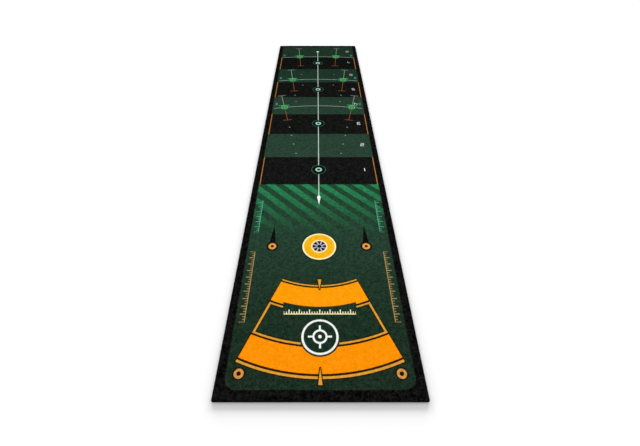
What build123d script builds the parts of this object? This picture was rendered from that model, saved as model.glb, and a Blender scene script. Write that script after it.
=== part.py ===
from build123d import *
import os

# A practice putting mat: one long flat laminate that lies on the floor. Four layers are bonded face to
# face over the whole area and then cut to the outline together:
#
#   pile_face      short printed pile, the surface the ball rolls on
#   backing_cloth  close ground cloth that the pile is rooted in
#   bonding_film   hot-melt film that joins the cloth to the rubber
#   rubber_base    heavy rubber sheet that keeps the mat flat and stops it sliding
#
# The origin is the middle of the underside, on the floor. +Y runs along the mat from the target end to
# the far end, +X runs across it, and +Z is up. All sizes are in millimetres.

# ---- outline ----
mat_length = 2190.0
mat_width = 500.0
corner_radius = 4.0          # the knife rounds each corner slightly

# ---- layer thicknesses, from the floor up ----
rubber_thickness = 2.5
film_thickness = 0.3
cloth_thickness = 0.7
pile_height = 2.5

# ---- cut edges ----
film_setback = 0.6           # the melted film stops just short of the cut edge
pile_edge_round = 1.0        # the outermost pile leans out, so its top edge is rounded
rubber_foot_chamfer = 0.5    # moulded bevel round the foot of the rubber sheet

# ---- floor level of each layer ----
film_bottom = rubber_thickness
cloth_bottom = film_bottom + film_thickness
pile_bottom = cloth_bottom + cloth_thickness


def layer(bottom, thickness, setback=0.0):
    """One flat layer of the laminate, its edge held back from the cut outline by the setback."""
    width = mat_width - 2 * setback
    length = mat_length - 2 * setback
    outline = RectangleRounded(width, length, corner_radius - setback)
    return Pos(0, 0, bottom) * extrude(outline, thickness)


def rubber_base():
    """The rubber sheet, with a small bevel round the foot where it meets the floor."""
    sheet = layer(0, rubber_thickness)
    foot_edges = sheet.edges().group_by(Axis.Z)[0]
    return chamfer(foot_edges, rubber_foot_chamfer)


def bonding_film():
    """The adhesive film, hidden between rubber and cloth and seen only as a thin groove at the edge."""
    return layer(film_bottom, film_thickness, film_setback)


def backing_cloth():
    """The ground cloth that holds the roots of the pile."""
    return layer(cloth_bottom, cloth_thickness)


def pile_face():
    """The printed pile, as one solid of its full height, with its top edge rounded all the way round."""
    pile = layer(pile_bottom, pile_height)
    top_edges = pile.edges().group_by(Axis.Z)[-1]
    return fillet(top_edges, pile_edge_round)


def build_mat():
    """Every piece of the mat by name, from the floor up."""
    return {
        "rubber_base": rubber_base(),
        "bonding_film": bonding_film(),
        "backing_cloth": backing_cloth(),
        "pile_face": pile_face(),
    }


def main():
    os.makedirs("parts", exist_ok=True)
    for name, solid in build_mat().items():
        solid.label = name
        export_step(solid, f"parts/{name}.step")
        box = solid.bounding_box()
        print(f"{name:14s} volume {solid.volume / 1000:8.1f} cm3   z {box.min.Z:4.1f} to {box.max.Z:4.1f} mm")


main()
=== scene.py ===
# %% [markdown]
# # A practice putting mat
#
# The object is a long flat mat for practising short golf strokes indoors. It is a laminate: a printed
# pile on a ground cloth, a melted film of glue, and a rubber sheet. This notebook dresses the plain
# solids of the design with the real surfaces. The solids come in as a fixed frame, in metres: +Y runs
# from the target end to the far end, +X across the mat, and +Z is up. Each lesson step first says what
# the piece is on the real mat, then builds it in a short cell.

# %% Load the frame
import math

import bpy
import numpy as np
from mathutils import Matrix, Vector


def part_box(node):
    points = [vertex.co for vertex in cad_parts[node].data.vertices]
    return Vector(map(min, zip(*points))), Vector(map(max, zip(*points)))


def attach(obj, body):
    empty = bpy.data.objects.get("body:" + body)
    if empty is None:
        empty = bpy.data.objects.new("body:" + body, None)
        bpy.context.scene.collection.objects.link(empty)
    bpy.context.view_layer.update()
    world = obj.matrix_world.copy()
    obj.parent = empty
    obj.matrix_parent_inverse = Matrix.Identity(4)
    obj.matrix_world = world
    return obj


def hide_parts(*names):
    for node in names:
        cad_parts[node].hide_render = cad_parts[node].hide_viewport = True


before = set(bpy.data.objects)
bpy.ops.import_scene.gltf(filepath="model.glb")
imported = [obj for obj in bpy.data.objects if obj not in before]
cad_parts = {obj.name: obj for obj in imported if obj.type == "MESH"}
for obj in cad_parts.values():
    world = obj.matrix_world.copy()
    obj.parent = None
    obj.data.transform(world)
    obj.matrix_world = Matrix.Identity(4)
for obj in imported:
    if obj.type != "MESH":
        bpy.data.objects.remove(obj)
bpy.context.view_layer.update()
pile_low, pile_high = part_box("pile_face")
cloth_low, cloth_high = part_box("backing_cloth")
rubber_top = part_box("rubber_base")[1].z
MM = 0.001
MAT_WIDTH = pile_high.x - pile_low.x
MAT_LENGTH = pile_high.y - pile_low.y
CORNER_RADIUS = 4 * MM      # the knife rounds each corner of the mat slightly
print(f"mat {MAT_WIDTH:.3f} x {MAT_LENGTH:.3f} m, top of the pile at {pile_high.z / MM:.1f} mm")

# %% [markdown]
# ## Node trees written as sums
#
# Shading and Geometry Nodes trees are both graphs of small sums. Clicking hundreds of Math nodes
# together is slow and hard to read back, so two small classes do it here. A `Tree` adds any node from
# its type, its settings and its inputs. A `Field` stands for one output socket, a value that changes
# over the surface, and Python's own operators on it add the Math nodes.

# %% Two helpers: Tree and Field
class Field:
    """One output socket of a tree. Sums on it add Math nodes to the tree."""

    def __init__(self, tree, socket):
        self.tree = tree
        self.socket = socket

    def output(self, name):
        """Another output of the same node."""
        return Field(self.tree, find_socket(self.socket.node.outputs, name))

    def math(self, operation, *others, clamp=False):
        return self.tree.math(operation, self, *others, clamp=clamp)

    def __neg__(self):
        return self.math("MULTIPLY", -1.0)

    def __abs__(self):
        return self.math("ABSOLUTE")


def add_operator(name, operation):
    """Gives Field one of Python's operators and its reflected form, so that 1 - mask works too."""
    setattr(Field, f"__{name}__", lambda self, other: self.tree.math(operation, self, other))
    setattr(Field, f"__r{name}__", lambda self, other: self.tree.math(operation, other, self))


for name, operation in [("add", "ADD"), ("sub", "SUBTRACT"), ("mul", "MULTIPLY"),
                        ("truediv", "DIVIDE"), ("mod", "FLOORED_MODULO")]:
    add_operator(name, operation)


def find_socket(sockets, name):
    """A socket by its place, its identifier or its name, in that order."""
    if isinstance(name, int):
        return sockets[name]
    by_identifier = [s for s in sockets if s.identifier == name]
    return (by_identifier or [s for s in sockets if s.name == name])[0]


class Tree:
    """A node tree that is filled from Python."""

    def __init__(self, nodes):
        self.nodes = nodes

    def node(self, kind, settings=None, inputs=None, output=0):
        """Adds one node: its settings first, then its inputs, as values or as links from Fields."""
        node = self.nodes.nodes.new(kind)
        for name, value in (settings or {}).items():
            setattr(node, name, value)
        for name, value in (inputs or {}).items():
            socket = find_socket(node.inputs, name)
            if isinstance(value, Field):
                self.nodes.links.new(value.socket, socket)
            else:
                socket.default_value = value
        return Field(self, find_socket(node.outputs, output)) if node.outputs else node

    def math(self, operation, *values, clamp=False):
        settings = {"operation": operation, "use_clamp": clamp}
        return self.node("ShaderNodeMath", settings, dict(enumerate(values)))

    def vector(self, operation, *vectors, output=0):
        return self.node("ShaderNodeVectorMath", {"operation": operation}, dict(enumerate(vectors)), output)

    def point(self, x=0.0, y=0.0, z=0.0):
        """Three measures made into one vector."""
        return self.node("ShaderNodeCombineXYZ", None, {"X": x, "Y": y, "Z": z})

    def along(self, vector, axis):
        """One of the three measures of a vector."""
        return self.node("ShaderNodeSeparateXYZ", None, {0: vector}, axis)

    def mix(self, factor, first, second, blend="MIX", clamp=False):
        """One colour laid over another by a factor."""
        settings = {"data_type": "RGBA", "blend_type": blend, "clamp_result": clamp}
        inputs = {"Factor_Float": factor, "A_Color": first, "B_Color": second}
        return self.node("ShaderNodeMix", settings, inputs, "Result_Color")

    def noise(self, place, per_metre, detail, roughness=0.5):
        """Cloudy noise, with this many blotches to the metre. It also has the output Color."""
        inputs = {"Vector": place, "Scale": per_metre, "Detail": detail, "Roughness": roughness}
        return self.node("ShaderNodeTexNoise", None, inputs)

    def cells(self, place, per_metre):
        """How far each place is from the nearest of many scattered points."""
        return self.node("ShaderNodeTexVoronoi", None, {"Vector": place, "Scale": per_metre}, "Distance")


def new_material(name):
    """An empty material, the Tree that fills it, and the place on the surface as a Field."""
    material = bpy.data.materials.new(name)
    material.use_nodes = True
    material.node_tree.nodes.clear()
    tree = Tree(material.node_tree)
    return material, tree, tree.node("ShaderNodeTexCoord", output="Object")


def finish_surface(tree, colour, roughness, gloss, bump=None):
    """Ends a material: a principled shader, with a bump if its (relief, strength, depth) is given."""
    inputs = {"Base Color": colour, "Roughness": roughness, "Specular IOR Level": gloss}
    if bump:
        relief, strength, depth = bump
        heights = {"Height": relief, "Strength": strength, "Distance": depth}
        inputs["Normal"] = tree.node("ShaderNodeBump", None, heights)
    shader = tree.node("ShaderNodeBsdfPrincipled", None, inputs)
    tree.node("ShaderNodeOutputMaterial", None, {"Surface": shader})


# %% [markdown]
# ## Dyes
#
# The mat is printed: jets or screens push dye down into a white pile, so there is one surface and
# many colours. The dyes are listed once, in linear light, where a value is simply the share of the
# light that the dyed pile gives back. Black pile keeps almost nothing, which is why its fibres look
# velvety. The two ground tones change slowly along the mat, so they are lists of (place, colour).

# %% The dye list
BLACK = (0.0047, 0.0045, 0.0045, 1)
BROWN_BLACK = (0.011, 0.0055, 0.0032, 1)
ORANGE = (0.86, 0.29, 0.0022, 1)
DEEP_ORANGE = (0.86, 0.25, 0.0018, 1)
LINE_ORANGE = (0.64, 0.29, 0.032, 1)
YELLOW = (0.80, 0.40, 0.008, 1)
TAN = (0.68, 0.30, 0.06, 1)
SCALE_TAN = (0.50, 0.32, 0.11, 1)
RUST = (0.56, 0.25, 0.06, 1)
BRICK = (0.56, 0.19, 0.06, 1)
CREAM = (0.89, 0.80, 0.45, 1)
WHITE = (0.80, 0.83, 0.79, 1)
LINE_WHITE = (0.48, 0.60, 0.52, 1)
SPOKE_GREY = (0.40, 0.40, 0.52, 1)
STRIPE_GREEN = (0.019, 0.195, 0.071, 1)
SCALE_GREEN = (0.10, 0.45, 0.28, 1)
RING_GREEN = (0.36, 0.62, 0.49, 1)
HALO_GREEN = (0.016, 0.115, 0.062, 1)
MARK_GREEN = (0.09, 0.42, 0.12, 1)
GREEN_TONES = [  # share of the length from the near end, and the green there
    (0.016, (0.0110, 0.0240, 0.0144)),
    (0.082, (0.0110, 0.0260, 0.0153)),
    (0.169, (0.0146, 0.0356, 0.0218)),
    (0.219, (0.0167, 0.0432, 0.0258)),
    (0.340, (0.0146, 0.0530, 0.0262)),
    (0.430, (0.0205, 0.0475, 0.0304)),
    (0.630, (0.0172, 0.0410, 0.0262)),
    (0.790, (0.0120, 0.0297, 0.0190)),
    (0.950, (0.0118, 0.0280, 0.0162)),
]
BLACK_TONES = [  # the same, for the black bands
    (0.40, (0.0068, 0.0068, 0.0068)),
    (0.70, (0.0062, 0.0062, 0.0058)),
    (0.90, (0.0048, 0.0056, 0.0046)),
]
print(len(GREEN_TONES), "green and", len(BLACK_TONES), "black tones along the mat")

# %% [markdown]
# ## The layout of the print
#
# Everything on the mat is set out from a few points, in metres from the middle of the near edge: x
# across and y along. The near part is a panel with a fan-shaped waiting area, whose arcs all share one
# centre, and the round target, as wide as a real golf hole. Beyond it come eight numbered bands of one
# depth, black and green in turn.

# %% Sizes of the print
BORDER = 25 * MM
PANEL_HALF_WIDTH = 227 * MM
PANEL_CORNER = 30 * MM
PANEL_END = 761 * MM
BAND_DEPTH = 175.5 * MM
BAND_COUNT = 8
FIRST_MARK = 852.5 * MM     # where the ball ring and the numeral of the first band stand
MARK_STEP = 175 * MM
FAN_CENTRE = (0.0, 595 * MM)
FAN_HALF_ANGLE = math.radians(22.4)
TARGET = (0.0, 457 * MM)
DYE_BLEED = 1.3 * MM        # width over which one dye runs into the next
GROUND_BLEED = 2.2 * MM     # the same, where two ground colours meet
DYE_CREEP = 0.9 * MM        # how far the edge of a colour wanders from tuft to tuft
CREEPS_PER_METRE = 650.0    # how quickly it wanders


def mm(*sizes):
    """Several sizes in millimetres, made into metres."""
    return tuple(size * MM for size in sizes)


def band_edges(number):
    """The near and far edge of a numbered band."""
    near = PANEL_END + (number - 1) * BAND_DEPTH
    return near, near + BAND_DEPTH


print("bands start at", [round(band_edges(n)[0], 3) for n in range(1, BAND_COUNT + 1)])

# %% [markdown]
# ## How a motif is drawn
#
# A motif is described by its signed distance: how far a point lies outside its outline, negative
# inside. Distances are easy to combine: the larger of two is where both shapes overlap, the smaller is
# either one. A `Print` keeps the colour so far and lays each ink over it. Near the outline the ink
# fades over the bleed width, so an edge is as soft as dye in pile, at any zoom. The radii of rings are
# listed in millimetres.

# %% The Print class
class Print:
    """The colour of the pile as it is built up, ink after ink."""

    def __init__(self, tree, place):
        self.tree = tree
        creep = tree.noise(place, CREEPS_PER_METRE, detail=1.0).output("Color")
        centred = tree.vector("SUBTRACT", creep, (0.5, 0.5, 0.5))
        wander = tree.vector("MULTIPLY", centred, (2 * DYE_CREEP, 2 * DYE_CREEP, 2 * DYE_CREEP))
        spot = tree.vector("ADD", place, wander)
        self.x = tree.along(spot, "X")
        self.y = self.x.output("Y") + MAT_LENGTH / 2
        self.side = abs(self.x)
        self.flat = tree.point(self.x, self.y)
        self.mirrored = tree.point(self.side, self.y)
        self.colour = None

    def reach(self, spot, point):
        """How far the surface is from a point of the layout."""
        return self.tree.vector("DISTANCE", spot, (*point, 0), output="Value")

    def length(self, x, y):
        """How long the vector (x, y) is."""
        return self.tree.vector("LENGTH", self.tree.point(x, y), output="Value")

    def ink(self, distance, dye, bleed=DYE_BLEED, strength=None):
        """Lays a dye wherever the distance is negative, fading out over the bleed."""
        mask = distance.math("MULTIPLY_ADD", -1 / bleed, 0.5, clamp=True)
        if strength is not None:
            mask = mask * strength
        self.colour = self.tree.mix(mask, self.colour, dye)


def either(shape, *others):
    """Inside any of the shapes."""
    for other in others:
        shape = shape.math("MINIMUM", other)
    return shape


def both(shape, *others):
    """Inside all of the shapes at once."""
    for other in others:
        shape = shape.math("MAXIMUM", other)
    return shape


def between(field, low, high):
    """Signed distance to the stretch from low to high of any measure."""
    return abs(field - (low + high) / 2) - (high - low) / 2


def bar(across, along, centre, half_across, half_along):
    """Signed distance to an upright rectangle."""
    return both(abs(across - centre[0]) - half_across, abs(along - centre[1]) - half_along)


def comb(field, start, step, half):
    """Signed distance to a row of teeth: one every step, each twice half wide."""
    return abs((field - (start - step / 2)) % step - step / 2) - half


def lay_rings(p, radius, rings):
    """Rings and discs round one centre: (inner radius or None, outer radius, dye, and maybe a bleed)."""
    for inner, outer, dye, *bleed in rings:
        shape = radius - outer * MM if inner is None else between(radius, inner * MM, outer * MM)
        p.ink(shape, dye, *bleed)


def ruler(along, across, span, spine, teeth):
    """A spine with teeth on it. Each kind of tooth is (place of one, step, half width, far end)."""
    shape = both(between(across, *spine), span)
    for start, step, half, end in teeth:
        shape = either(shape, both(comb(along, start, step, half), between(across, spine[0], end), span))
    return shape


# %% [markdown]
# ## Ground colours
#
# Black is the ground of the border and of the odd bands. The near panel and the even bands are green.
# The green is lightest in the middle of the mat and deepens towards both ends, so it is read from a
# ramp along the length. The slanting stripes of the panel start at the first band and fade out before
# the target: a Map Range node turns the place along the mat into their strength.

# %% Ground, panel, bands and stripes
STRIPE_STEP = 65.5 * MM     # measured straight across the mat
STRIPE_START = 53 * MM
STRIPE_GAP = 1 * MM         # left free between the stripes and the border
STRIPE_BLEED = 5 * MM
STRIPES_FADE = mm(500, 748)
STRIPES_FADE_POWER = 1.25


def tone_ramp(p, tones):
    ramp = p.tree.node("ShaderNodeValToRGB", None, {"Fac": p.y * (1 / MAT_LENGTH)})
    stops = ramp.socket.node.color_ramp.elements
    while len(stops) < len(tones):
        stops.new(0.5)
    for stop, (place, tone) in zip(stops, tones):
        stop.position = place
        stop.color = (*tone, 1)
    return ramp


def lay_black_bands(p):
    """Every other band from the first one on."""
    from_middle = abs((p.y - PANEL_END) % (2 * BAND_DEPTH) - BAND_DEPTH / 2)
    bands = both(from_middle - BAND_DEPTH / 2, PANEL_END - p.y)
    p.ink(bands, tone_ramp(p, BLACK_TONES), bleed=GROUND_BLEED)


def lay_border(p):
    """The black frame: what lies outside a panel whose two near corners are round."""
    past_x = (p.side - (PANEL_HALF_WIDTH - PANEL_CORNER)).math("MAXIMUM", 0.0)
    past_y = ((BORDER + PANEL_CORNER) - p.y).math("MAXIMUM", 0.0)
    rounded = p.length(past_x, past_y) - PANEL_CORNER
    panel = both(rounded, p.side - PANEL_HALF_WIDTH, p.y - (MAT_LENGTH - BORDER))
    p.ink(-panel, BLACK, bleed=GROUND_BLEED)


def lay_stripes(p):
    square_on = math.sqrt(0.5)      # the stripes slant at 45 degrees
    slant = (p.x + p.y) * square_on
    step = STRIPE_STEP * square_on
    stripe = comb(slant, STRIPE_START * square_on, step, step / 4)
    fade = p.tree.node("ShaderNodeMapRange", None,
                       {"Value": p.y, "From Min": STRIPES_FADE[0], "From Max": STRIPES_FADE[1]})
    shape = both(stripe, p.side - (PANEL_HALF_WIDTH - STRIPE_GAP), p.y - PANEL_END)
    p.ink(shape, STRIPE_GREEN, bleed=STRIPE_BLEED, strength=fade.math("POWER", STRIPES_FADE_POWER))


# %% [markdown]
# ## The fan
#
# The fan is where a ball that ran past the target should stop. All its arcs have one centre and its
# sides point at that centre, so the distance from the centre is the only measure most of its inks
# need. Each coloured field is followed by a thin gap of bare ground and a thin line. A notch in the
# far field and a round badge interrupt them. The badge and the notch hold plain marks here: a sight
# and a scale.

# %% Fan, badge and end marks
FAN_FAR_FIELD = mm(293.7, 359.8)    # inner and outer radius
FAN_NEAR_FIELD = mm(469.1, 533.9)
FAN_LINES = [mm(284.0, 288.4), mm(365.8, 370.6), mm(458.6, 463.8), mm(539.4, 545.4)]
FAN_OUTLINE = 2.6 * MM
FAN_SIDE_LINE = 5.8 * MM
NOTCH = mm(353.7, 376.0)            # inner and outer radius
NOTCH_HALF_WIDTH = 101 * MM
NOTCH_SCALE_SPINE = mm(218, 220.6)
NOTCH_SCALE_HALF_WIDTH = 98 * MM
NOTCH_SCALE_TEETH = [(0.0, 28 * MM, 1.4 * MM, 232.5 * MM), (0.0, 7 * MM, 1.2 * MM, 226.5 * MM)]
BADGE = (0.0, 155 * MM)
BADGE_RINGS = [(42.6, 48, WHITE), (14.5, 19.5, WHITE), (None, 4.5, WHITE)]
BADGE_CLEAR = 52.6 * MM             # radius that the fan keeps clear
SIGHT_TICK = mm(19, 31)
SIGHT_TICK_HALF_WIDTH = 2.5 * MM
END_MARKS = [mm(75, 36), mm(297, 331)]      # tip and base of each end mark
END_MARK_TIP = 0.2 * MM             # half width at the tip
END_MARK_FLARE = 4.8 * MM           # how much more it is at the base
END_MARK_RIM = 2.7 * MM             # dark outline at the sides
END_MARK_OVERRUN = 3 * MM           # and at the ends


def lay_fan(p):
    radius = p.reach(p.flat, FAN_CENTRE)
    towards_centre = (FAN_CENTRE[1] - p.y) * math.sin(FAN_HALF_ANGLE)
    off_side = p.side * math.cos(FAN_HALF_ANGLE) - towards_centre
    notch = both(between(radius, *NOTCH), p.side - NOTCH_HALF_WIDTH)
    kept_clear = -either(notch, p.reach(p.flat, BADGE) - BADGE_CLEAR)
    far_field, near_field = between(radius, *FAN_FAR_FIELD), between(radius, *FAN_NEAR_FIELD)
    side_line = both(between(off_side, -FAN_SIDE_LINE, 0.0),
                     between(radius, FAN_LINES[1][0], FAN_LINES[2][1]))
    lines = either(*[between(radius, *line) for line in FAN_LINES], side_line)
    rings = either(far_field, near_field, lines)
    p.ink(both(rings - FAN_OUTLINE, off_side - FAN_OUTLINE, kept_clear), BROWN_BLACK)
    inside = both(off_side, kept_clear)
    p.ink(both(near_field, inside), DEEP_ORANGE)
    p.ink(both(far_field, inside), ORANGE)
    p.ink(both(lines, inside), LINE_ORANGE)
    for tip, base in END_MARKS:
        lay_end_mark(p, tip, base)


def lay_end_mark(p, tip, base):
    """A slim triangle on the centre line, with a dark outline."""
    length = abs(base - tip)
    along = (p.y - tip) * math.copysign(1, base - tip)
    flank = p.side - along * (END_MARK_FLARE / length) - END_MARK_TIP
    from_middle = abs(along - length / 2)
    p.ink(both(flank - END_MARK_RIM, from_middle - (length / 2 + END_MARK_OVERRUN)), BROWN_BLACK)
    p.ink(both(flank, from_middle - length / 2), LINE_ORANGE)


def lay_badge(p):
    """A plain ring with a sight in it: a small ring, a dot and four ticks."""
    radius = p.reach(p.flat, BADGE)
    lay_rings(p, radius, BADGE_RINGS)
    cross = either(p.side, abs(p.y - BADGE[1])) - SIGHT_TICK_HALF_WIDTH
    p.ink(both(cross, between(radius, *SIGHT_TICK)), WHITE)


def lay_notch_scale(p):
    span = p.side - NOTCH_SCALE_HALF_WIDTH
    p.ink(ruler(p.x, p.y, span, NOTCH_SCALE_SPINE, NOTCH_SCALE_TEETH), CREAM)


# %% [markdown]
# ## Rings, side scales and spikes
#
# Both halves of the mat carry the same marks, so they are drawn on the mirrored place, where x is
# always positive, and appear twice for the price of one. Two scales run up each edge: a tan one
# beside the fan and a green one beside the stripes.

# %% Marks that come in pairs
CORNER_SPOT = mm(195.8, 62)
CORNER_RINGS = [(None, 15.5, BROWN_BLACK), (5.4, 12.0, RUST)]
SPIKE_SPOT = mm(150, 457)
SPIKE_RINGS = [(None, 18.5, BROWN_BLACK), (5.2, 12.4, TAN)]
SPIKE_TIP = 547 * MM
SPIKE_HALF_WIDTH = 12 * MM
SCALE_SPINE = mm(201, 203)
TOOTH_STEP, TOOTH_HALF, TOOTH_END = mm(8, 0.9, 209)
LONG_STEP, LONG_HALF, LONG_END = mm(24, 1.1, 217)
SCALE_STRENGTH = 0.8
TAN_SCALE = mm(195, 435)            # near and far end
GREEN_SCALE = mm(518, 670)


def lay_corner_rings(p):
    lay_rings(p, p.reach(p.mirrored, CORNER_SPOT), CORNER_RINGS)


def lay_side_scale(p, start, end, dye):
    """A ruler near each edge: a short tooth every 8 mm, and a long one in place of each third."""
    teeth = [(start, TOOTH_STEP, TOOTH_HALF, TOOTH_END), (start, LONG_STEP, LONG_HALF, LONG_END)]
    p.ink(ruler(p.y, p.side, between(p.y, start, end), SCALE_SPINE, teeth), dye, strength=SCALE_STRENGTH)


def lay_spikes(p):
    """A dark spike that points up the mat from a small ring, left and right of the target."""
    along = p.y - SPIKE_SPOT[1]
    length = SPIKE_TIP - SPIKE_SPOT[1]
    flank = abs(p.side - SPIKE_SPOT[0]) + (along - length) * (SPIKE_HALF_WIDTH / length)
    p.ink(both(flank, -along), BLACK)
    lay_rings(p, p.reach(p.mirrored, SPIKE_SPOT), SPIKE_RINGS)


# %% [markdown]
# ## The target
#
# The target is the plan view of a golf hole, at true size: a light rim, a yellow field, and the
# spoked floor of the cup in the middle. The spokes repeat every eighth of a turn, so the angle is
# folded into one eighth and only one spoke is drawn.

# %% Target
TARGET_DISCS = [  # from the widest, a soft dark rim, to the smallest
    (None, 56.3, BLACK, 5 * MM),
    (None, 53.8, CREAM),
    (None, 48.8, YELLOW),
    (None, 26.0, CREAM),
    (None, 21.8, BROWN_BLACK),
]
SPOKES = 8
SPOKE_HALF_WIDTH = 2.3 * MM
SPOKE_REACH = mm(6.5, 22)


def lay_target(p):
    radius = p.reach(p.flat, TARGET)
    lay_rings(p, radius, TARGET_DISCS)
    turn = math.tau / SPOKES
    angle = p.tree.math("ARCTAN2", p.y - TARGET[1], p.x)
    off_spoke = abs(angle % turn - turn / 2).math("SINE") * radius
    p.ink(both(off_spoke - SPOKE_HALF_WIDTH, between(radius, *SPOKE_REACH)), SPOKE_GREY)


# %% [markdown]
# ## The line of play
#
# A white line runs down the middle of all the bands to a slim arrowhead in the stripes. It is broken
# by a small ring in each black band, where the ball is put down. Each black band also has a fine tan
# line near both edges.

# %% Centre line, arrowhead, ball rings and edge lines
LINE_HALF_WIDTH = 1.6 * MM
LINE_END = 2092 * MM
LINE_END_BLOCK = (0.0, LINE_END - 8 * MM)
LINE_END_HALF = mm(7.5, 9)
ARROW_TIP, ARROW_SHOULDER, ARROW_TAIL = mm(650, 690, 702)
ARROW_HALF_WIDTH = 6.6 * MM
BALL_RINGS = [(None, 29.4, BLACK), (26.4, 29.4, HALO_GREEN), (6.8, 13.0, RING_GREEN)]
EDGE_LINE = mm(222.6, 225.6)
EDGE_LINE_STRENGTH = 0.62


def lay_centre_line(p):
    p.ink(both(p.side - LINE_HALF_WIDTH, between(p.y, ARROW_SHOULDER, LINE_END)), LINE_WHITE)


def lay_arrowhead(p):
    front = p.side - (p.y - ARROW_TIP) * (ARROW_HALF_WIDTH / (ARROW_SHOULDER - ARROW_TIP))
    back = p.side - (ARROW_TAIL - p.y) * (ARROW_HALF_WIDTH / (ARROW_TAIL - ARROW_SHOULDER))
    p.ink(both(front, back), WHITE)


def lay_line_end(p):
    p.ink(bar(p.x, p.y, LINE_END_BLOCK, *LINE_END_HALF), LINE_WHITE)


def lay_ball_ring(p, middle):
    lay_rings(p, p.reach(p.flat, (0, middle)), BALL_RINGS)


def lay_edge_lines(p, near, far):
    line = both(between(p.side, *EDGE_LINE), between(p.y, near, far))
    p.ink(line, TAN, strength=EDGE_LINE_STRENGTH)


# %% [markdown]
# ## Distance marks
#
# Three pairs of marks show how far off line a putt may start and still drop, at about 3, 4 and 5 feet
# from the target. Each is drawn along a ray from the target: a short bar, a stem, a round sight in the
# middle, and a second bar. Working in the ray's own two measures, along and across, keeps the drawing
# upright however the ray is turned. A faint arc of true distance joins each pair.

# %% Rays, sights, arcs and dots
FOOT = 304.8 * MM
RAYS = [  # angle off the centre line in degrees, distance, and half length of each pair of marks
    (10.6, 3 * FOOT, 124 * MM),
    (6.7, 4 * FOOT, 134 * MM),
    (4.2, 5 * FOOT + 22 * MM, 137 * MM),
]
ARC_HALF_WIDTH = 1.6 * MM
ARC_END = 219 * MM          # how far from the middle of the mat each arc stops
ARC_STRENGTH = 0.62
STEM_HALF_WIDTH = 1.2 * MM
CROSS_BAR_HALF = mm(20, 1.8)
STEM_INKS = [(-1, BRICK, 0.40, 0.36), (1, LINE_WHITE, 0.50, 0.45)]  # sense, dye, strength of stem and bar
MARK_RING = mm(12.2, 17.2)
MARK_DOT = 5 * MM
MARK_GLOW, MARK_GLOW_BLEED, MARK_GLOW_STRENGTH = 25 * MM, 7 * MM, 0.6
MARK_CAP_BEYOND = 20 * MM
MARK_CAP_HALF = mm(26, 2.4)
LABEL_BEYOND = 18 * MM      # from the arc to the middle one of three short bars
LABEL_STEP, LABEL_BAR_HALF, LABEL_HALF_DEPTH = mm(9, 2.2, 13)
LABEL_SIDE = mm(205, 217)
LABEL_STRENGTH = 0.6
# which ray has dots, and from where to where, measured from the target
DOT_RAYS = [(0, 515 * MM, 735 * MM), (1, 965 * MM, 1040 * MM), (2, 1150 * MM, 1300 * MM)]
DOT_STEP = 70 * MM
DOT_RADIUS = 3.2 * MM
DOT_LEAD = 5 * MM
DOT_STRENGTH = 0.5


def on_ray(p, degrees):
    """A place as (across, along) a ray that leaves the target at an angle."""
    sine, cosine = math.sin(math.radians(degrees)), math.cos(math.radians(degrees))
    out = p.y - TARGET[1]
    return p.side * cosine - out * sine, p.side * sine + out * cosine


def lay_distance_arc(p, distance):
    arc = between(p.reach(p.flat, TARGET), distance - ARC_HALF_WIDTH, distance + ARC_HALF_WIDTH)
    p.ink(both(arc, p.side - ARC_END), LINE_WHITE, strength=ARC_STRENGTH)


def lay_ray_marks(p, degrees, distance, half_length):
    across, along = on_ray(p, degrees)
    for sense, dye, stem_strength, bar_strength in STEM_INKS:
        end = distance + sense * half_length
        stem = bar(across, along, (0, (end + distance) / 2), STEM_HALF_WIDTH, half_length / 2)
        p.ink(stem, dye, strength=stem_strength)
        p.ink(bar(across, along, (0, end), *CROSS_BAR_HALF), dye, strength=bar_strength)
    radius = p.length(across, along - distance)
    p.ink(radius - MARK_GLOW, HALO_GREEN, bleed=MARK_GLOW_BLEED, strength=MARK_GLOW_STRENGTH)
    cap = bar(across, along, (0, distance + MARK_CAP_BEYOND), *MARK_CAP_HALF)
    p.ink(either(between(radius, *MARK_RING), radius - MARK_DOT, cap), MARK_GREEN)


def lay_ray_label(p, distance):
    """Three short bars near each edge, beside the end of an arc."""
    place = TARGET[1] + distance + LABEL_BEYOND
    bars = both(comb(p.y, place - LABEL_STEP, LABEL_STEP, LABEL_BAR_HALF),
                between(p.y, place - LABEL_HALF_DEPTH, place + LABEL_HALF_DEPTH))
    p.ink(both(bars, between(p.side, *LABEL_SIDE)), SCALE_GREEN, strength=LABEL_STRENGTH)


def lay_ray_dots(p, degrees, start, end):
    across, along = on_ray(p, degrees)
    from_dot = (along - (start - DOT_STEP / 2)) % DOT_STEP - DOT_STEP / 2
    dots = p.length(across, from_dot) - DOT_RADIUS
    p.ink(both(dots, between(along, start - DOT_LEAD, end)), RING_GREEN, strength=DOT_STRENGTH)


# %% [markdown]
# ## Numerals
#
# Each band has its number near the right-hand edge, written to be read from the far end. Plain
# numerals made of seven strokes, as on a counter, are enough, and each stroke is one more rectangle.
# The strokes have letters: a to f go clockwise from the top one, and g is the one in the middle.

# %% Seven-stroke numerals
DIGIT_HALF = mm(6.5, 9.5)
STROKE_HALF = 1.7 * MM
STROKES = {  # each stroke's centre, in half widths and half heights, and whether it lies flat
    "a": (0, 1, True), "b": (1, 0.5, False), "c": (1, -0.5, False), "d": (0, -1, True),
    "e": (-1, -0.5, False), "f": (-1, 0.5, False), "g": (0, 0, True),
}
NUMERALS = {1: "bc", 2: "abged", 3: "abgcd", 4: "fbgc", 5: "afgcd", 6: "afgecd", 7: "abc", 8: "abcdefg"}
NUMERAL_X = 190 * MM
NUMERAL_SHIFT = {4: 16 * MM, 6: 7 * MM, 7: 14 * MM, 8: 8 * MM}   # how far each stands past its mark
NUMERAL_STRENGTH = 0.85
NUMERAL_FADE = 0.055        # how much weaker each next numeral is printed


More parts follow.
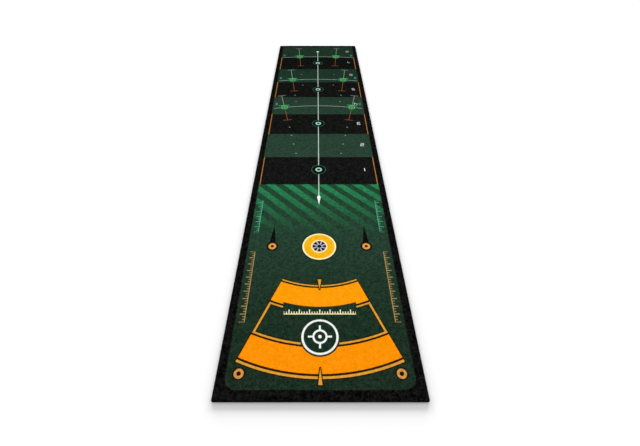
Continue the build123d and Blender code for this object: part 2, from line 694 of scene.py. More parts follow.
def lay_numeral(p, number, middle):
    across, along = NUMERAL_X - p.x, middle - p.y
    strokes = []
    for name in NUMERALS[number]:
        column, row, lies_flat = STROKES[name]
        half = (DIGIT_HALF[0], STROKE_HALF) if lies_flat else (STROKE_HALF, DIGIT_HALF[1] / 2)
        strokes.append(bar(across, along, (column * DIGIT_HALF[0], row * DIGIT_HALF[1]), *half))
    p.ink(either(*strokes), WHITE, strength=NUMERAL_STRENGTH - NUMERAL_FADE * (number - 1))


# %% [markdown]
# ## From dyes to pile
#
# Real pile is never one colour: each fibre tip catches the light differently. Noise of three sizes, for
# mottle, tufts and fibres, lifts and lowers the dye, partly as tone of the pile and partly as painted
# light and shade of the fibre tips and the nap, and adds a painted grey glint to every dye alike. The
# tufts have a little colour of their own.
# Tufts and fibres also feed a bump, so the surface breaks up the light. The shader is fully rough and
# has no gloss, because light that enters between the fibres stays there.

# %% The pile finish
TUFT_SIZE, TUFT_SHARE = 3.4 * MM, 12.0          # share: how much of the grain each noise makes
MOTTLE_SIZE, MOTTLE_SHARE = 9 * MM, 6.5
FIBRE_SIZE, FIBRE_SHARE = 0.9 * MM, 4.0
# how much the grain lifts each dye: partly tone of the pile, partly painted light and shade of the fibre
# tips and the nap
GRAIN_ON_BLACK, GRAIN_LOST = 0.115, 0.085       # how strongly grain lifts black, and less on bright dyes
DARKEST_LIFT = 0.3
# painted glint and shade of the fibre tips: a grey that the grain adds to every dye alike, and the most it
# darkens
GLINT_AND_SHADE, DEEPEST_PAINTED_SHADE = 0.0021, -0.0034            # what the grain adds to every dye alike
TINT = 0.012
MID_GREY = (0.5, 0.5, 0.5, 1)


def finish_pile(tree, place, colour):
    tuft = tree.noise(place, 1 / TUFT_SIZE, detail=2.5, roughness=0.75)
    mottle = tree.noise(place, 1 / MOTTLE_SIZE, detail=1.0)
    fibre = tree.noise(place, 1 / FIBRE_SIZE, detail=1.0, roughness=0.7)
    grain = (tuft - 0.5) * TUFT_SHARE + (mottle - 0.5) * MOTTLE_SHARE + (fibre - 0.5) * FIBRE_SHARE
    contrast = tree.along(colour, "X") * -GRAIN_LOST + GRAIN_ON_BLACK
    lift = (grain * contrast + 1.0).math("MAXIMUM", DARKEST_LIFT)
    shaded = tree.mix(1.0, colour, tree.point(lift, lift, lift), blend="MULTIPLY")
    # painted glint and shade of the fibre tips, added as grey to the dye
    glint_and_shade = (grain * GLINT_AND_SHADE).math("MAXIMUM", DEEPEST_PAINTED_SHADE)
    glinted = tree.mix(1.0, shaded, tree.point(glint_and_shade, glint_and_shade, glint_and_shade), blend="ADD")
    tint = tree.mix(1.0, tuft.output("Color"), MID_GREY, blend="SUBTRACT")
    speckled = tree.mix(TINT, glinted, tint, blend="ADD", clamp=True)
    relief = tuft * 0.6 + fibre * 0.4
    finish_surface(tree, speckled, roughness=1.0, gloss=0.0, bump=(relief, 0.45, 1.0 * MM))


# %% [markdown]
# ## Zones
#
# One material with every motif would be slow to work out at every point, so the sheet has zones, and
# the material of a zone holds only the motifs that reach into it. They all share the same ground, so
# no joint shows. A motif is a name, the stretch of the mat it covers, the function that lays it, and
# the values that the function takes.

# %% Motifs and zone materials
MOTIF_REACH = 6 * MM        # how far past its stretch a motif may bleed
ZONE_LIMITS = [0.0, 190 * MM, 385 * MM, 560 * MM] + [band_edges(n)[0] for n in range(1, BAND_COUNT + 1)]
ZONE_LIMITS.append(MAT_LENGTH)


def motif_list():
    """Every motif with its near and far limit, in the order in which the inks are laid."""
    motifs = [
        ("stripes", STRIPES_FADE[0], PANEL_END, lay_stripes),
        ("fan", 30 * MM, 336 * MM, lay_fan),
        ("badge", 100 * MM, 210 * MM, lay_badge),
        ("notch scale", 215 * MM, 235 * MM, lay_notch_scale),
        ("corner rings", 45 * MM, 80 * MM, lay_corner_rings),
        ("tan scale", 190 * MM, 440 * MM, lay_side_scale, *TAN_SCALE, SCALE_TAN),
        ("green scale", 513 * MM, 675 * MM, lay_side_scale, *GREEN_SCALE, SCALE_GREEN),
        ("spikes", 430 * MM, 550 * MM, lay_spikes),
        ("target", 395 * MM, 519 * MM, lay_target),
    ]
    for angle, distance, half in RAYS:
        place = TARGET[1] + distance
        arc_near = TARGET[1] + distance * math.cos(math.asin(ARC_END / distance)) - 3 * MM
        arc_far = place + 3 * MM
        motifs += [
            ("arc", arc_near, arc_far, lay_distance_arc, distance),
            ("ray marks", place - half - 25 * MM, arc_far + half, lay_ray_marks, angle, distance, half),
            ("ray label", place, place + 2 * LABEL_BEYOND, lay_ray_label, distance),
        ]
    for ray, start, end in DOT_RAYS:
        near, far = TARGET[1] + start - 15 * MM, TARGET[1] + end
        motifs.append(("dots", near, far, lay_ray_dots, RAYS[ray][0], start, end))
    motifs += [
        ("centre line", ARROW_SHOULDER, LINE_END, lay_centre_line),
        ("arrowhead", ARROW_TIP, ARROW_TAIL, lay_arrowhead),
        ("line end", LINE_END - 20 * MM, LINE_END + 5 * MM, lay_line_end),
    ]
    for number in range(1, BAND_COUNT + 1):
        near, far = band_edges(number)
        middle = FIRST_MARK + (number - 1) * MARK_STEP
        if number % 2:
            motifs.append(("edge lines", near, far, lay_edge_lines, near, far))
            motifs.append(("ball ring", middle - 30 * MM, middle + 30 * MM, lay_ball_ring, middle))
        middle += NUMERAL_SHIFT.get(number, 0.0)
        motifs.append(("numeral", middle - 15 * MM, middle + 15 * MM, lay_numeral, number, middle))
    return motifs


def zone_material(index, near, far):
    material, tree, place = new_material(f"printed_pile_zone_{index + 1}")
    p = Print(tree, place)
    p.colour = tone_ramp(p, GREEN_TONES)
    if far > PANEL_END:
        lay_black_bands(p)
    lay_border(p)
    names = []
    for name, start, end, lay, *values in motif_list():
        if end > near - MOTIF_REACH and start < far + MOTIF_REACH:
            lay(p, *values)
            names.append(name)
    finish_pile(tree, place, p.colour)
    print(f"zone {index + 1}: {near:.3f} to {far:.3f} m, {len(tree.nodes.nodes)} nodes,", ", ".join(names))
    return material


zones = list(zip(ZONE_LIMITS[:-1], ZONE_LIMITS[1:]))
pile_materials = [zone_material(i, near, far) for i, (near, far) in enumerate(zones)]

# %% [markdown]
# ## A sheet with a worked edge
#
# The layers are flat sheets with rounded corners, and what makes them look like cloth or rubber is
# the run of the edge. A box could not show that, so the sheet is a fine grid with a border: a walk
# round the outline gives each border point its way out, and the profile of the edge, given as
# (way out, height) pairs, is swept along the walk. The hidden underside is a ladder of long faces.

# %% The sheet builder
CORNER_STEPS = 6            # straight pieces in each rounded corner


def grid_faces(columns, rows):
    """The faces of a grid whose points are numbered row after row."""
    wide = columns + 1
    return [(j * wide + i, j * wide + i + 1, (j + 1) * wide + i + 1, (j + 1) * wide + i)
            for j in range(rows) for i in range(columns)]


def outline_walk(columns, rows):
    """Once round the inner grid, counter-clockwise: (grid column, grid row, way out) of each step."""
    sides = [
        ([(i, 0) for i in range(columns + 1)], -90),
        ([(columns, j) for j in range(rows + 1)], 0),
        ([(i, rows) for i in range(columns, -1, -1)], 90),
        ([(0, j) for j in range(rows, -1, -1)], 180),
    ]
    walk = []
    for cells, turn in sides:
        walk += [(i, j, math.radians(turn)) for i, j in cells]
        i, j = cells[-1]
        walk += [(i, j, math.radians(turn + 90 * k / CORNER_STEPS)) for k in range(1, CORNER_STEPS)]
    return walk


def make_sheet(name, width, length, pitch, profile):
    """A closed sheet. The profile runs from the flat top, over the edge, to the underside."""
    half_x, half_y = width / 2 - CORNER_RADIUS, length / 2 - CORNER_RADIUS
    columns, rows = round(2 * half_x / pitch), round(2 * half_y / pitch)
    xs, ys = np.linspace(-half_x, half_x, columns + 1), np.linspace(-half_y, half_y, rows + 1)
    before, travelled = profile[0], 0.0
    points = [(x, y, before[1]) for y in ys for x in xs]
    unfolded = [(x, y) for y in ys for x in xs]
    faces = grid_faces(columns, rows)
    walk = outline_walk(columns, rows)
    ring = [j * (columns + 1) + i for i, j, _ in walk]
    for out, height in profile[1:]:
        travelled += math.hypot(out - before[0], height - before[1])
        before = (out, height)
        outer = list(range(len(points), len(points) + len(walk)))
        for i, j, way in walk:
            step_x, step_y = math.cos(way), math.sin(way)
            points.append((xs[i] + out * step_x, ys[j] + out * step_y, height))
            unfolded.append((xs[i] + travelled * step_x, ys[j] + travelled * step_y))
        for k in range(len(walk)):
            after = (k + 1) % len(walk)
            face = [outer[k], outer[after], ring[after], ring[k]]
            faces.append(tuple(dict.fromkeys(face)))
        ring = outer
    underside = len(faces)
    faces += underside_ladder(ring, walk, columns, rows)
    mesh = bpy.data.meshes.new(name)
    mesh.from_pydata(points, [], faces)
    mesh.validate()
    return mesh, np.array(unfolded), underside


def underside_ladder(ring, walk, columns, rows):
    """Closes the bottom: one long face for each row, and one at each end."""
    spot = {}
    for k, (i, j, way) in enumerate(walk):
        spot.setdefault((i, j, round(math.degrees(way))), ring[k])
    left = [spot[(0, j, 180)] for j in range(rows + 1)]
    right = [spot[(columns, j, 0)] for j in range(rows + 1)]
    ladder = [(left[j], left[j + 1], right[j + 1], right[j]) for j in range(rows)]
    count = len(ring)
    near_end = [ring[k % count] for k in range(ring.index(left[0]), ring.index(right[0]) + count + 1)]
    far_end = ring[ring.index(right[rows]):ring.index(left[rows]) + 1]
    return ladder + [tuple(reversed(near_end)), tuple(reversed(far_end))]


def add_object(mesh, name):
    piece = bpy.data.objects.new(name, mesh)
    bpy.context.scene.collection.objects.link(piece)
    return piece


def rounded_edge(radius, top, bottom, steps):
    """Edge profile of a sheet: flat, a quarter round, then straight down."""
    profile = [(0.0, top)]
    for k in range(steps + 1):
        turn = math.pi / 2 * k / steps
        profile.append((CORNER_RADIUS - radius * (1 - math.sin(turn)), top - radius * (1 - math.cos(turn))))
    profile.append((CORNER_RADIUS, bottom))
    return profile


# %% [markdown]
# ## Growing with Geometry Nodes
#
# What repeats along an edge or over a surface is grown by a Geometry Nodes tree: relief over the
# whole pile, tufts along its edge, yarn ends, studs. A tree takes its sizes as named inputs, so the
# same tree serves at any size. Once it has run, its result is kept as a plain mesh and the modifier
# goes, which makes the piece quick to draw and easy to export.

# %% Geometry Nodes helpers
def new_group(name, sizes):
    """A Geometry Nodes group with named inputs. Gives back its Tree and a Field for each input."""
    group = bpy.data.node_groups.new(name, "GeometryNodeTree")
    for way in ("INPUT", "OUTPUT"):
        group.interface.new_socket("Geometry", in_out=way, socket_type="NodeSocketGeometry")
    for label, value in sizes.items():
        kind = "NodeSocketInt" if isinstance(value, int) else "NodeSocketFloat"
        group.interface.new_socket(label, in_out="INPUT", socket_type=kind).default_value = value
    tree = Tree(group)
    entry = tree.node("NodeGroupInput")
    return tree, {label: entry.output(label) for label in ["Geometry", *sizes]}


def finish_group(tree, geometry, materials):
    """Every tree ends the same way: instances become real faces, and the faces get their material."""
    geometry = tree.node("GeometryNodeRealizeInstances", None, {"Geometry": geometry})
    for material, selection in materials:
        inputs = {"Geometry": geometry, "Material": material, "Selection": selection}
        geometry = tree.node("GeometryNodeSetMaterial", None, inputs)
    tree.node("NodeGroupOutput", None, {"Geometry": geometry})


def moved(tree, geometry, x=0.0, z=0.0):
    inputs = {"Geometry": geometry, "Offset": tree.point(x, 0.0, z)}
    return tree.node("GeometryNodeSetPosition", None, inputs)


def joined(tree, *pieces):
    """Several pieces as one."""
    join = tree.node("GeometryNodeJoinGeometry")
    for piece in pieces:
        tree.nodes.links.new(piece.socket, join.socket.node.inputs[0])
    return join


def cone(tree, sides, foot, top, depth):
    """A closed cone without its point, to be set on many spots."""
    inputs = {"Vertices": sides, "Radius Bottom": foot, "Radius Top": top, "Depth": depth}
    return tree.node("GeometryNodeMeshCone", {"fill_type": "NGON"}, inputs, "Mesh")


def scatter(tree, low, high, seed):
    """A random vector for each spot, between two others."""
    inputs = {0: low, 1: high, "Seed": seed}
    return tree.node("FunctionNodeRandomValue", {"data_type": "FLOAT_VECTOR"}, inputs)


def planted(tree, spots, plant, **pose):
    """A copy of one shape on every spot."""
    return tree.node("GeometryNodeInstanceOnPoints", None, {"Points": spots, "Instance": plant, **pose})


def grow(piece, tree, values):
    """Runs a group on a piece with these values, and keeps the result as the piece's own mesh."""
    modifier = piece.modifiers.new("grow", "NODES")
    modifier.node_group = tree.nodes
    for item in tree.nodes.interface.items_tree:
        if item.in_out == "INPUT" and item.name in values:
            modifier[item.identifier] = values[item.name]
    depsgraph = bpy.context.evaluated_depsgraph_get()
    grown = bpy.data.meshes.new_from_object(piece.evaluated_get(depsgraph), depsgraph=depsgraph,
                                            preserve_all_data_layers=True)
    piece.modifiers.remove(modifier)
    grown.name = piece.name
    piece.data = grown
    grown.calc_loop_triangles()
    print(f"{piece.name}: {len(grown.loop_triangles)} triangles, {len(grown.materials)} materials")
    return piece


# %% [markdown]
# ## The printed pile
#
# The pile is 2.5 mm of cut fibre, so dense that it reads as one surface. It is a sheet with a softly
# rounded edge, where the outermost fibres lean out. Its tree gives the top a slight unevenness, as pile
# has after it was rolled up, and dresses each zone of the length in its own material. The outline
# stays half a millimetre inside the cut, because the tufts of the next step make the very edge.

# %% Printed pile
PILE_PITCH = 3.6 * MM
PILE_EDGE_RADIUS = 1.0 * MM
TUFT_STANDS_PROUD = 0.5 * MM
NAP = {"Nap Height": 0.22 * MM, "Nap Size": 16 * MM, "Top": pile_high.z, "Seed": 7}
NAP_REACH = 0.3 * MM        # how far down from the top the surface still moves
NAP_LEVEL = 0.62            # the noise value at which it stays where it is
MAP_PARTS = 4
MAP_GAP = 4 * MM


def nap_tree():
    tree, size = new_group("pile_nap", NAP)
    place = tree.node("GeometryNodeInputPosition")
    grain = tree.node("ShaderNodeTexNoise", {"noise_dimensions": "4D"},
                      {"Vector": place, "W": size["Seed"], "Detail": 2.0, "Scale": 1.0 / size["Nap Size"]})
    sunk = size["Top"] - tree.along(place, "Z")
    on_top = (1.0 - sunk * (1 / NAP_REACH)).math("MAXIMUM", 0.0)
    pile = moved(tree, size["Geometry"], z=(grain - NAP_LEVEL) * size["Nap Height"] * on_top)
    along = tree.along(place, "Y") + MAT_LENGTH / 2
    worn = [(pile_materials[0], True)]
    for material, (near, far) in list(zip(pile_materials, zones))[1:]:
        beyond = tree.node("FunctionNodeCompare", {"data_type": "FLOAT", "operation": "GREATER_EQUAL"},
                           {0: along, 1: near})
        worn.append((material, beyond))
    finish_group(tree, pile, worn)
    return tree


def fold_map(mesh, unfolded, underside):
    """Lays the sheet's UV map out in four lengths, two by two, so that a baked image holds more detail."""
    low, span = unfolded.min(0), np.ptp(unfolded, axis=0)
    part_length = span[1] / MAP_PARTS
    square = part_length + 2 * MAP_GAP
    corners = np.empty(len(mesh.loops), np.int32)
    mesh.loops.foreach_get("vertex_index", corners)
    sizes = np.array([len(face.vertices) for face in mesh.polygons])
    owner = np.repeat(np.arange(len(sizes)), sizes)
    spot = unfolded[corners] - low
    centre = np.bincount(owner, spot[:, 1]) / sizes
    part = np.clip(centre // part_length, 0, MAP_PARTS - 1)[owner]
    across = spot[:, 0] + MAP_GAP + (part % 2) * square
    along = spot[:, 1] - part * part_length + MAP_GAP + (part // 2) * square
    hidden = owner >= underside
    strip = span[0] + 3 * MAP_GAP
    across[hidden] = strip + (square - strip - MAP_GAP) * spot[hidden, 0] / span[0]
    along[hidden] = 2 * square * spot[hidden, 1] / span[1]
    layer = mesh.uv_layers.new(name="OFBake")
    layer.uv.foreach_set("vector", (np.stack([across, along], 1) / (2 * square)).ravel())


def make_pile():
    width, length = MAT_WIDTH - 2 * TUFT_STANDS_PROUD, MAT_LENGTH - 2 * TUFT_STANDS_PROUD
    profile = rounded_edge(PILE_EDGE_RADIUS, pile_high.z, pile_low.z, steps=4)
    mesh, unfolded, underside = make_sheet("printed_pile", width, length, PILE_PITCH, profile)
    fold_map(mesh, unfolded, underside)
    return grow(add_object(mesh, "printed_pile"), nap_tree(), NAP)


pile = make_pile()
pile.data.polygons.foreach_set("use_smooth", np.ones(len(pile.data.polygons), bool))

# %% [markdown]
# ## Tufts along the cut
#
# A blade has parted the fibres all round, so the edge is a fringe of single tufts that lean every
# which way. Three rows of slim closed cones, one behind the other, are set along the outline by a
# tree: a rectangle with rounded corners, divided into equal steps, with a cone on each step, turned
# and stretched at random. The border of the print is black there, so the tufts are too.

# %% Black tuft finish
TUFT_COLOURS = [(0.0035, 0.0034, 0.0036, 1), (0.0085, 0.0080, 0.0084, 1)]
TUFT_TIP_GREY = (0.0130, 0.0125, 0.0125, 1)     # mixed in towards the tips, so each tuft is lighter at the top
TUFT_FIBRE = 0.7 * MM


def tuft_material():
    material, tree, place = new_material("black_cut_tufts")
    fibre = tree.noise(place, 1 / TUFT_FIBRE, detail=2.0)
    tip = tree.node("ShaderNodeMapRange", None, {"Value": tree.along(place, "Z"), "From Min": pile_low.z,
                                                 "From Max": pile_high.z + 0.3 * MM})
    # the tufts turn lighter grey from the root to the tip
    greyed = tree.mix(tip * 0.6, tree.mix(fibre, *TUFT_COLOURS), TUFT_TIP_GREY)
    finish_surface(tree, greyed, roughness=1.0, gloss=0.01, bump=(fibre, 0.5, 0.2 * MM))
    return material


black_tufts = tuft_material()

# %% Edge tree: cones or yarns along the outline
OUTLINE = {"Width": MAT_WIDTH, "Length": MAT_LENGTH, "Corner": CORNER_RADIUS}
FRINGE = {**OUTLINE, "Step": 1.2 * MM, "Root Radius": 0.50 * MM, "Tip Radius": 0.26 * MM,
          "Height": 2.6 * MM, "Floor": pile_low.z, "Lean": 0.24, "Sides": 4, "Seed": 3}
FRINGE_INSETS = mm(0.6, 1.2, 1.9)
SMALLEST_CORNER = 0.1 * MM


def outline_spots(tree, size, inset):
    """Evenly spaced spots along the outline, at a distance inside it."""
    sides = {"Width": size["Width"] - 2 * inset, "Height": size["Length"] - 2 * inset}
    rectangle = tree.node("GeometryNodeCurvePrimitiveQuadrilateral", None, sides)
    corner = (size["Corner"] - inset).math("MAXIMUM", SMALLEST_CORNER)
    rounded = tree.node("GeometryNodeFilletCurve", {"mode": "POLY"},
                        {"Curve": rectangle, "Count": CORNER_STEPS, "Radius": corner})
    steps = tree.node("GeometryNodeResampleCurve", {"mode": "LENGTH"},
                      {"Curve": rounded, "Length": size["Step"]})
    return tree.node("GeometryNodeCurveToPoints", {"mode": "EVALUATED"}, {"Curve": steps}, "Points")


def slim_cone(tree, size):
    return cone(tree, size["Sides"], size["Root Radius"], size["Tip Radius"], size["Height"])


def one_row(tree, size, inset, seed):
    """One row of tufts, at a distance inside the outline."""
    raised = moved(tree, outline_spots(tree, size, inset), z=size["Floor"])
    lean = size["Lean"]
    turn = scatter(tree, tree.point(-lean, -lean), tree.point(lean, lean, math.tau), size["Seed"] + seed)
    stretch = scatter(tree, (0.75, 0.75, 0.82), (1.15, 1.15, 1.03), size["Seed"] + seed + 50)
    return planted(tree, raised, slim_cone(tree, size), Rotation=turn, Scale=stretch)


def fringe_tree(material):
    tree, size = new_group(f"fringe_of_{material.name}", FRINGE)
    rows = [one_row(tree, size, inset, number * 11) for number, inset in enumerate(FRINGE_INSETS)]
    finish_group(tree, joined(tree, *rows), [(material, True)])
    return tree


def empty_piece(name):
    return add_object(bpy.data.meshes.new(name), name)


tufts = grow(empty_piece("pile_edge_tufts"), fringe_tree(black_tufts), FRINGE)

# %% [markdown]
# ## The ground cloth
#
# Under the pile lies the cloth that the fibres are anchored in, 0.7 mm thick and woven. Only its cut
# edge shows, as a line of yarn ends. The sheet carries the weave in its material, over and under in
# both directions, with painted shade between the yarns, and the same steps along the outline, with the
# cones laid on their side, give the yarn ends that stick out where the blade went through.

# %% Woven cloth finish
YARN = 1.1 * MM
YARN_FLUFF = 0.8 * MM
# painted shade: the first colour is the dark between the yarns, the second the yarn on top
YARN_SHADE_AND_TOP = [(0.010, 0.010, 0.011, 1), (0.032, 0.032, 0.034, 1)]     # between the yarns, and on top
FLUFF_COLOUR = (0.060, 0.060, 0.062, 1)


def woven_material():
    material, tree, place = new_material("woven_ground_cloth")
    spot = tree.along(place, "X")
    warp = (spot * (math.pi / YARN)).math("SINE")
    weft = (spot.output("Y") * (math.pi / YARN)).math("SINE")
    # 1 where the warp lies on top, and 0 where the weft does
    over = (warp * weft).math("MULTIPLY_ADD", 3.0, 0.5, clamp=True)
    ridge = abs(warp) * over + abs(weft) * (1.0 - over)
    fluff = tree.noise(place, 1 / YARN_FLUFF, detail=3.0)
    # painted shade between the yarns: the colour darkens where the ridge is low
    fibres = tree.mix(fluff * 0.5, tree.mix(ridge, *YARN_SHADE_AND_TOP), FLUFF_COLOUR)
    relief = ridge * 0.7 + fluff * 0.3
    finish_surface(tree, fibres, roughness=0.85, gloss=0.2, bump=(relief, 0.8, 0.3 * MM))
    return material


woven = woven_material()

# %% Ground cloth and its yarn ends
CLOTH_PITCH = 9 * MM
CLOTH_EDGE_RADIUS = 0.15 * MM
CLOTH_DRAWN_BACK = 0.5 * MM
YARN_ENDS = {**OUTLINE, "Step": 1.5 * MM, "Root Radius": 0.30 * MM, "Tip Radius": 0.24 * MM,
             "Height": 1.1 * MM, "Floor": (cloth_low.z + cloth_high.z) / 2, "Lean": 0.35,
             "Sides": 5, "Seed": 19}
YARN_INSET = 0.75 * MM
YARN_WANDER = 0.10 * MM     # up or down


def yarn_tree(material):
    """Short yarns that lie flat and point out of the cut, a little out of line with each other."""
    tree, size = new_group("yarn_ends", YARN_ENDS)
    spots = outline_spots(tree, size, YARN_INSET)
    wander = tree.node("FunctionNodeRandomValue", {"data_type": "FLOAT"},
                       {2: -YARN_WANDER, 3: YARN_WANDER, "Seed": size["Seed"] + 5}, 1)
    raised = moved(tree, spots, z=size["Floor"] + wander)
    lean = size["Lean"]
    sideways = tree.vector("CROSS_PRODUCT", spots.output("Tangent"), (0.0, 0.0, 1.0))
    stray = scatter(tree, tree.point(-lean, -lean), tree.point(lean, lean), size["Seed"])
    turn = tree.node("FunctionNodeAlignRotationToVector", {"axis": "Z"},
                     {"Vector": tree.vector("ADD", sideways, stray)})
    stretch = scatter(tree, (0.8, 0.8, 0.7), (1.1, 1.1, 1.2), size["Seed"] + 2)
    ends = planted(tree, raised, slim_cone(tree, size), Rotation=turn, Scale=stretch)
    finish_group(tree, ends, [(material, True)])
    return tree


def make_cloth():
    width, length = MAT_WIDTH - 2 * CLOTH_DRAWN_BACK, MAT_LENGTH - 2 * CLOTH_DRAWN_BACK
    profile = rounded_edge(CLOTH_EDGE_RADIUS, cloth_high.z, cloth_low.z, steps=2)
    mesh, _, _ = make_sheet("ground_cloth", width, length, CLOTH_PITCH, profile)
    mesh.materials.append(woven)
    print("ground_cloth:", len(mesh.polygons), "faces")
    return add_object(mesh, "ground_cloth")


cloth = make_cloth()
yarn_ends = grow(empty_piece("ground_cloth_yarn_ends"), yarn_tree(woven), YARN_ENDS)

# %% [markdown]
# ## The melted film
#
# A film of hot glue joins cloth and rubber. It is drawn back a little from the cut, where it shrank as
# it cooled, so the plain solid of the design already has the right shape. It only needs its finish:
# a smoky, half glossy melt with small bubbles and streaks along the way the mat ran through the rollers.

# %% Film finish
MELT_COLOURS = [(0.040, 0.036, 0.030, 1), (0.085, 0.078, 0.064, 1)]
BUBBLE_COLOUR = (0.150, 0.140, 0.120, 1)
STREAKS_PER_METRE = 260.0
STREAK_SHAPE = (1.0, 0.12, 1.0)     # drawn out along the mat
BUBBLES_PER_METRE = 420.0


def film_material():
    material, tree, place = new_material("melted_glue_film")
    drawn_out = tree.node("ShaderNodeMapping", None, {"Vector": place, "Scale": STREAK_SHAPE})
    streaks = tree.noise(drawn_out, STREAKS_PER_METRE, detail=3.0)
    # 1 in the middle of each bubble, and 0 outside it
    bubble = tree.cells(place, BUBBLES_PER_METRE).math("MULTIPLY_ADD", -4.0, 1.2, clamp=True)
    colour = tree.mix(bubble * 0.5, tree.mix(streaks, *MELT_COLOURS), BUBBLE_COLOUR)
    bump = (streaks + bubble * 0.5, 0.5, 0.1 * MM)
    finish_surface(tree, colour, roughness=streaks * 0.3 + 0.22, gloss=0.5, bump=bump)
    return material


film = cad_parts["bonding_film"]
film.data.materials.clear()
film.data.materials.append(film_material())
print("bonding_film wears", film.data.materials[0].name)

# %% [markdown]
# ## The rubber base
#
# The bottom layer is foamed rubber, 2.5 mm thick, moulded with small round studs that grip the floor
# and let it breathe. Studs are set out like a honeycomb, every other row moved by half a step. The tree
# lays a grid of points, moves the odd rows, and puts a low tapered stud on each. The skin between the
# studs hangs half a millimetre above the floor, and the studs stand on it.

# %% Rubber finish
RUBBER_COLOURS = [(0.0080, 0.0078, 0.0080, 1), (0.0150, 0.0147, 0.0150, 1)]
RUBBER_DUST = (0.028, 0.027, 0.026, 1)
CRUMB, PORE = mm(1.3, 0.5)


def rubber_material():
    material, tree, place = new_material("moulded_rubber")
    cloud = tree.noise(place, 9.0, detail=3.0)
    crumb = tree.cells(place, 1 / CRUMB)
    pores = tree.noise(place, 1 / PORE, detail=2.0)
    # dust lies in broad clouds
    greyed = tree.mix((cloud - 0.35) * 0.9, tree.mix(crumb, *RUBBER_COLOURS), RUBBER_DUST)
    bump = (pores * 0.5 + crumb * 0.5, 0.6, 0.25 * MM)
    finish_surface(tree, greyed, roughness=pores * 0.25 + 0.62, gloss=0.3, bump=bump)
    return material


# %% Rubber slab with studs
STUDS = {"Width": MAT_WIDTH, "Length": MAT_LENGTH, "Pitch": 15 * MM, "Margin": 7 * MM,
         "Foot Radius": 2.3 * MM, "Root Radius": 3.0 * MM, "Height": 0.5 * MM, "Sunk": 0.2 * MM,
         "Sides": 8}
RUBBER_PITCH = 12 * MM
RUBBER_CHAMFER = 0.4 * MM


def stud_tree(material):
    tree, size = new_group("floor_studs", STUDS)
    pitch, margins = size["Pitch"], 2 * size["Margin"]
    row_step = pitch * math.sqrt(0.75)
    columns = ((size["Width"] - margins - pitch * 0.5) / pitch).math("FLOOR") + 1
    rows = ((size["Length"] - margins) / row_step).math("FLOOR") + 1
    lattice = tree.node("GeometryNodeMeshGrid", None,
                        {"Size X": (columns - 1) * pitch, "Size Y": (rows - 1) * row_step,
                         "Vertices X": columns, "Vertices Y": rows}, "Mesh")
    row = tree.node("GeometryNodeInputIndex") % rows
    spots = moved(tree, lattice, x=((row % 2.0) - 0.5) * pitch * 0.5)
    depth = size["Height"] + size["Sunk"]
    stud = cone(tree, size["Sides"], size["Foot Radius"], size["Root Radius"], depth)
    finish_group(tree, joined(tree, planted(tree, spots, stud), size["Geometry"]), [(material, True)])
    return tree


def make_rubber():
    skin = STUDS["Height"]
    profile = [(0.0, rubber_top), (CORNER_RADIUS, rubber_top),
               (CORNER_RADIUS, skin + RUBBER_CHAMFER), (CORNER_RADIUS - RUBBER_CHAMFER, skin)]
    mesh, _, _ = make_sheet("moulded_rubber_base", MAT_WIDTH, MAT_LENGTH, RUBBER_PITCH, profile)
    return grow(add_object(mesh, "moulded_rubber_base"), stud_tree(rubber_material()), STUDS)


rubber = make_rubber()

# %% [markdown]
# ## Hang the pieces on the root body
#
# Everything is one laminate with no joint, so all pieces ride on the root body. The plain solids of
# the design that the pile, the ground cloth and the rubber replace are hidden.

# %% Bodies, and the plain solids hidden
for piece in (pile, tufts, cloth, yarn_ends, rubber):
    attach(piece, "root")
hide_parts("pile_face")
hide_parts("backing_cloth")
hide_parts("rubber_base")

# %% [markdown]
# ## Floor, light and camera
#
# The mat lies on a plain white floor in an even white room, so that its colours read true. Most of the
# light comes from the world, from all sides alike. Four weak, broad lights stand low beyond the far end
# and at both sides, and the thin edge throws a soft, narrow shadow away from them. The camera stands at
# the near end, at about head height of a crouching player, and looks down the mat through a short lens,
# so the mat narrows strongly towards its far end.

# %% Floor
FLOOR_HALF = 14.0
FLOOR_STEPS = 8
FLOOR_WHITES = [(0.878, 0.878, 0.878, 1), (0.890, 0.890, 0.890, 1)]


def floor_material():
    material, tree, place = new_material("white_studio_floor")
    cloud = tree.noise(place, 1.5, detail=2.0)
    finish_surface(tree, tree.mix(cloud, *FLOOR_WHITES), roughness=0.9, gloss=0.1)
    return material


def make_floor():
    line = np.linspace(-FLOOR_HALF, FLOOR_HALF, FLOOR_STEPS + 1)
    mesh = bpy.data.meshes.new("studio_floor")
    mesh.from_pydata([(x, y, 0.0) for y in line for x in line], [], grid_faces(FLOOR_STEPS, FLOOR_STEPS))
    mesh.materials.append(floor_material())
    return add_object(mesh, "studio_floor")


make_floor()

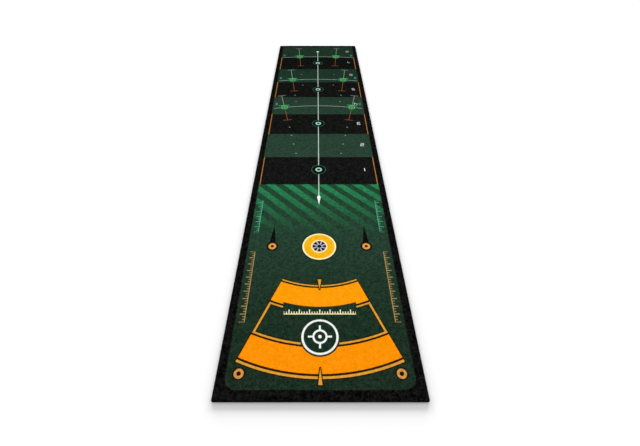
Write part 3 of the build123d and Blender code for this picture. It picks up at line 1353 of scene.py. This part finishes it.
# %% Light
WORLD_LIGHT = 0.62          # what the world gives to every surface
WORLD_SEEN_ADDS = 0.45      # how much brighter it is where it is seen directly, behind the mat
LAMP_ANGLE = math.radians(24)
LOW_LIGHTS = [  # name, turn from the far end and height in degrees, and what it adds to a white floor
    ("low_light_left", -20.0, 10, 0.22),
    ("low_light_right", 20.0, 10, 0.22),
    ("side_light_left", -80.0, 6, 0.05),
    ("side_light_right", 80.0, 6, 0.05),
]
scene = bpy.context.scene
scene.view_settings.view_transform = "Standard"
world = bpy.data.worlds.new("studio_world")
world.use_nodes = True
world.node_tree.nodes.clear()
sky = Tree(world.node_tree)
seen_directly = sky.node("ShaderNodeLightPath", None, None, "Is Camera Ray")
studio_glow = sky.node("ShaderNodeBackground", None, {
    "Color": (1.0, 1.0, 1.0, 1), "Strength": seen_directly * WORLD_SEEN_ADDS + WORLD_LIGHT})
sky.node("ShaderNodeOutputWorld", None, {"Surface": studio_glow})
scene.world = world


def add_low_light(name, turn, height, share):
    """A broad soft light, low above the floor."""
    height = math.radians(height)
    lamp = bpy.data.lights.new(name, "SUN")
    lamp.angle = LAMP_ANGLE
    lamp.energy = share * math.pi / math.sin(height)
    holder = bpy.data.objects.new(name, lamp)
    scene.collection.objects.link(holder)
    holder.rotation_euler = (height - math.pi / 2, 0.0, math.radians(turn))
    # only the turn of a sun counts for its light, so it may hang anywhere
    holder.location = (0.0, 2.5, 1.0)
    print(f"{name}: {lamp.energy:.2f} W/m2")


for low_light in LOW_LIGHTS:
    add_low_light(*low_light)

# %% Camera
CAMERA_PLACE = (-0.0095, -MAT_LENGTH / 2 - 0.238, pile_high.z + 0.8433)
CAMERA_PITCH = math.radians(43.45)      # from straight down
CAMERA_SHIFT = (0.0058, -0.0006)
CAMERA_LENS = 19.20                     # in millimetres, on a sensor 36 mm wide
camera_data = bpy.data.cameras.new("view_camera")
camera_data.sensor_width = 36.0
camera_data.lens = CAMERA_LENS
camera_data.shift_x, camera_data.shift_y = CAMERA_SHIFT
camera_data.clip_end = 60.0
camera = bpy.data.objects.new("view_camera", camera_data)
scene.collection.objects.link(camera)
camera.location = CAMERA_PLACE
camera.rotation_euler = (CAMERA_PITCH, 0.0, 0.0)
scene.camera = camera
print("camera at", [round(v, 3) for v in camera.location])
